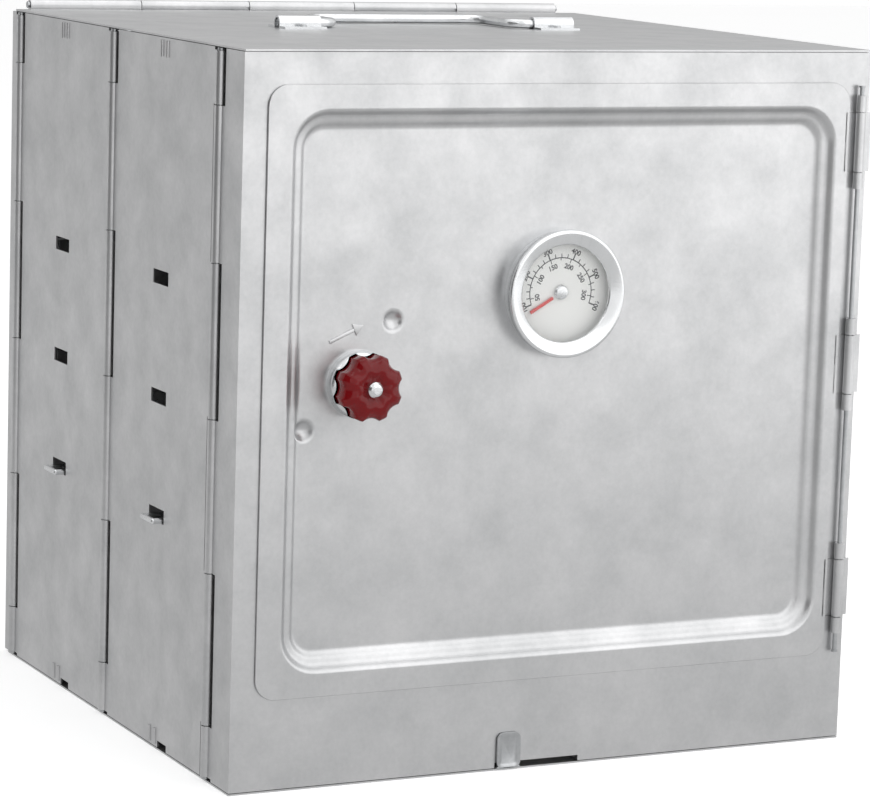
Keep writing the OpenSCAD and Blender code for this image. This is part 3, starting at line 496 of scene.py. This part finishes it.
# Latch knob: moulded deep red phenolic with eight scallops and a dished face, riveted to the
# end of the shaft. It turns in front of a small round skirt spun from bright plated steel.
phenolic = clouded("red_phenolic", (0.135, 0.0008, 0.002), (0.185, 0.0015, 0.004), 0.08, 0.14,
                   metallic=0.0, patch=90, contrast=0.8, grain=0.3, bump=0.02)
knob_shader = phenolic.node_tree.nodes["Principled BSDF"]
knob_shader.inputs["Specular IOR Level"].default_value = 0.3
knob_base = floor_y - 5.4 * MM
bpy.ops.object.select_all(action="DESELECT")
scallop_r, waist_r, point_r = 6.0, 12.2, 14.0
scallop_pitch = math.tau / 8
bpy.ops.mesh.primitive_circle_add(vertices=160, radius=point_r * MM, fill_type="NGON",
                                  location=(latch_x, knob_base, latch_z),
                                  rotation=(math.pi / 2, 0, 0))
knob = settle(bpy.context.object, "knob")
for vert in knob.data.vertices:
    across, above = vert.co.x - latch_x, vert.co.z - latch_z
    off = (math.atan2(above, across) + scallop_pitch / 2) % scallop_pitch - scallop_pitch / 2
    reach = scallop_r + waist_r
    inside = scallop_r ** 2 - (reach * math.sin(off)) ** 2
    r = min(point_r, reach * math.cos(off) - math.sqrt(inside)) if inside > 0 else point_r
    vert.co.x = latch_x + across * r / point_r
    vert.co.z = latch_z + above * r / point_r
bpy.ops.object.mode_set(mode="EDIT")
bpy.ops.mesh.select_mode(type="FACE")
bpy.ops.mesh.select_all(action="SELECT")
knob_y, knob_scale = knob_base, 1.0
for out, scale in ((0.0, 0.90), (0.4, 0.94), (1.2, 0.97), (7.6, 1.0), (8.3, 0.99), (9.2, 0.955),
                   (10.1, 0.90), (10.9, 0.83), (11.6, 0.74), (12.0, 0.64), (12.0, 0.52),
                   (11.7, 0.45), (11.0, 0.36), (10.6, 0.28), (10.5, 0.2)):
    bpy.ops.mesh.extrude_region_move(
        TRANSFORM_OT_translate={"value": (0, knob_base - out * MM - knob_y, 0)})
    knob_y = knob_base - out * MM
    grow = scale / knob_scale
    knob_scale = scale
    bpy.ops.transform.resize(value=(grow, 1, grow), center_override=(latch_x, knob_y, latch_z))
bpy.ops.mesh.select_mode(type="EDGE")
bpy.ops.mesh.select_all(action="DESELECT")
bpy.ops.mesh.select_non_manifold(extend=False)
bpy.ops.mesh.edge_face_add()
bpy.ops.mesh.select_all(action="SELECT")
bpy.ops.mesh.remove_doubles(threshold=0.001 * MM)
bpy.ops.mesh.normals_make_consistent(inside=False)
bpy.ops.object.mode_set(mode="OBJECT")
fit(knob, "latch", phenolic, "knob_red", "latch_knob", angle=40)
skirt = turned("knob_skirt_spun", (
    (2.9, 4), (10.5, 4), (13, 2), (13, 0.05), (14, 0.05), (14, 2.2), (13.7, 3.2), (13, 4.1),
    (12, 4.7), (10.8, 5), (2.9, 5), (2.9, 4)), latch_x, latch_z, floor_y, 72)
fit(skirt, "door", zinc, "bright_steel", "knob_skirt", angle=40)

# Thermometer: a bimetal coil in a cup turns a red needle over a white printed dial. A turned
# aluminium bezel with a rounded rim holds the lens, and a ring holds the cup behind the door.
satin_aluminium = clouded("satin_aluminium", (0.70, 0.71, 0.72), (0.84, 0.85, 0.86), 0.2, 0.3,
                          patch=80, contrast=0.7, grain=0.4)
bezel = turned("bezel", (
    (24.5, 0.05), (25.6, 0.05), (25.8, 5.4), (26.3, 6.2), (26.8, 6.9), (27, 7.6), (26.9, 8.2),
    (26.5, 8.7), (25.9, 8.95), (25.2, 8.9), (21.3, 7.1), (20.7, 6.7), (20.5, 6.3), (20.5, 5.7),
    (23.8, 5.7), (24.5, 1.2), (24.5, 0.05)), gauge_x, gauge_z, floor_y)
fit(bezel, "door", satin_aluminium, "bezel", "gauge_bezel", angle=30)
dial_white = clouded("dial_enamel", (0.80, 0.80, 0.78), (0.88, 0.88, 0.86), 0.4, 0.5,
                     metallic=0.0, patch=60, contrast=0.6, grain=0.3, bump=0.01)
bimetal = clouded("bimetal_strip", (0.50, 0.38, 0.22), (0.70, 0.56, 0.36), 0.28, 0.4, patch=90)
dress(dial_white, "gauge_dial")
dress(bimetal, "gauge_coil")
lens = clouded("lens_glass", (0.92, 0.95, 0.96), (0.96, 0.98, 0.99), 0.03, 0.06,
               metallic=0.0, patch=50, contrast=0.8, grain=0.2, bump=0.0)
lens.node_tree.nodes["Principled BSDF"].inputs["Alpha"].default_value = 0.06
dress(lens, "gauge_lens")
ink = clouded("printing_ink", (0.015, 0.015, 0.017), (0.05, 0.05, 0.055), 0.4, 0.55,
              metallic=0.0, patch=200, contrast=1.0, bump=0.0)
print_y = floor_y - 1.65 * MM
scale_start, scale_sweep, scale_r, scale_line = 200, 220, 14.5, 0.22
arc_parts, fine_steps, coarse_every = 44, 20, 4
low_f, span_f = 100, 500
outer_r, outer_h, inner_r, inner_h = 17.9, 3.0, 11.0, 2.9
marks = []


def tick(angle, inner, outer, width):
    """One printed stroke of the dial, from one radius to the other, in millimetres."""
    bpy.ops.object.select_all(action="DESELECT")
    bpy.ops.mesh.primitive_plane_add(size=MM)
    stroke = bpy.context.object
    middle = (inner + outer) / 2 * MM
    turn_by = math.radians(angle)
    stroke.matrix_world = facing(gauge_x + middle * math.cos(turn_by),
                                 gauge_z + middle * math.sin(turn_by), print_y, turn_by)
    marks.append(settle(stroke, "dial_stroke", (width, outer - inner, 1)))


def number(text, angle, radius, height):
    """One printed number of the dial, its top outwards."""
    bpy.ops.object.select_all(action="DESELECT")
    bpy.ops.object.text_add()
    figure = bpy.context.object
    figure.data.body = text
    figure.data.size = height * MM
    figure.data.offset = 0.1 * MM
    figure.data.align_x = "CENTER"
    figure.data.align_y = "CENTER"
    bpy.ops.object.convert(target="MESH")
    figure = bpy.context.object
    turn_by = math.radians(angle)
    figure.matrix_world = facing(gauge_x + radius * MM * math.cos(turn_by),
                                 gauge_z + radius * MM * math.sin(turn_by), print_y, turn_by)
    marks.append(settle(figure, "dial_number"))


for k in range(arc_parts):
    tick(scale_start - (k + 0.5) * scale_sweep / arc_parts, scale_r - scale_line,
         scale_r + scale_line, 1.29)
for k in range(fine_steps + 1):
    long = k % coarse_every == 0
    tick(scale_start - k * scale_sweep / fine_steps, scale_r, scale_r + (2.4 if long else 1.7),
         0.6 if long else 0.4)
for degrees in range(low_f, low_f + span_f + 1, 100):
    number(str(degrees), scale_start - (degrees - low_f) * scale_sweep / span_f, outer_r,
           outer_h)
for degrees in range(50, 301, 25):
    at = scale_start - (degrees * 1.8 + 32 - low_f) * scale_sweep / span_f
    tick(at, scale_r - (1.8 if degrees % 50 == 0 else 1.1), scale_r, 0.38)
    if degrees % 50 == 0:
        number(str(degrees), at, inner_r, inner_h)
weld(*marks)
fit(marks[0], "door", ink, "dial")
marks[0].name = "dial_print"
needle_paint = clouded("needle_paint", (0.55, 0.02, 0.02), (0.66, 0.035, 0.03), 0.3, 0.4,
                       metallic=0.0, patch=150, contrast=0.6, bump=0.0)
needle_turn, blade_l, blade_middle = math.radians(210), 12, 10.5 * MM
bpy.ops.object.select_all(action="DESELECT")
bpy.ops.mesh.primitive_cube_add(size=MM)
blade = settle(bpy.context.object, "needle_blade", (2.4, blade_l, 0.4))
for vert in blade.data.vertices:
    vert.select = vert.co.y > 0
bpy.ops.object.mode_set(mode="EDIT")
bpy.ops.mesh.select_mode(type="VERT")
bpy.ops.transform.resize(value=(0.55, 1, 1), center_override=(0, blade_l / 2 * MM, 0))
bpy.ops.object.mode_set(mode="OBJECT")
blade.matrix_world = facing(gauge_x + blade_middle * math.cos(needle_turn),
                            gauge_z + blade_middle * math.sin(needle_turn),
                            floor_y - 2.4 * MM, needle_turn)
settle(blade, "needle_blade")
fit(blade, "needle", needle_paint, "needle_red", "gauge_needle")
hub = turned("needle_hub", (
    (0, 3.6), (1.6, 3.55), (2.6, 3.25), (3.1, 2.7), (3.1, 1.9), (0.8, 1.9), (0.8, -7), (0, -7)),
    gauge_x, gauge_z, floor_y, 48)
fit(hub, "needle", zinc, "bright_steel", angle=30)

# Bottom clip: a strap of plated spring steel, riveted to the bottom panel. Its end stands up
# in front of the frame's lower edge, with a shallow panel pressed in it to stiffen it.
clip_left, clip_right, clip_low, clip_top = -23.8, -12.8, 0.8, 16.5
clip = plate("clip_strap", clip_left, clip_right, clip_low, clip_top, 3, front_y - 1.4 * MM, 6)
press(clip, ((1.3, 0), (0.5, 0.3), (0.4, 0.15)))
finish_with(clip, "SOLIDIFY", thickness=0.9 * MM, offset=-1, use_even_offset=True)
bpy.ops.mesh.primitive_cube_add(
    size=MM,
    location=((clip_left + clip_right) / 2 * MM, front_y + 6.3 * MM, (clip_low + 0.5) * MM))
clip_foot = settle(bpy.context.object, "clip_foot", (clip_right - clip_left, 15.4, 1))
finish_with(clip_foot, "BEVEL", width=0.3 * MM, segments=2)
weld(clip, clip_foot)
fit(clip, "bottom", drawn_wire, "bright_steel", "bottom_clip")
